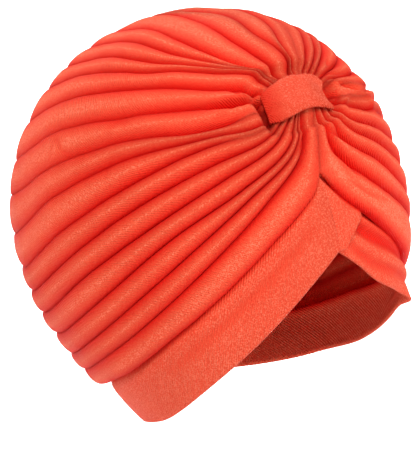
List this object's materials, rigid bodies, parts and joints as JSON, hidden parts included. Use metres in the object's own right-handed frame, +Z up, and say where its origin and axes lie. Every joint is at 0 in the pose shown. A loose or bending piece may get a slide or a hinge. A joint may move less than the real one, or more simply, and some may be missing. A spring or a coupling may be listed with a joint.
{
  "type": "turban hat, a pre-tied pleated head wrap",
  "caption": "Round pre-tied head wrap whose pleats fan from a gathered front knot, with a flat hem band lapped in an upside-down V over the forehead.",
  "frame": {"origin": "the seat, the point inside the top of the crown that rests on the head", "axes": "+Z up as worn, -Y to the wearer's face, +X to the wearer's left"},
  "size_m": [0.171, 0.1928, 0.1908],
  "materials": {
    "crown_jersey": "fine satin-matt polyester jersey in coral red, pleated",
    "band_jersey": "the same jersey, doubled and flat, with a fine twill-like knit",
    "strip_jersey": "the same jersey, doubled"
  },
  "bodies": {
    "root": {"pleated_crown": "crown_jersey", "hem_band": "band_jersey", "knot_strip": "strip_jersey"}
  },
  "joints": []
}
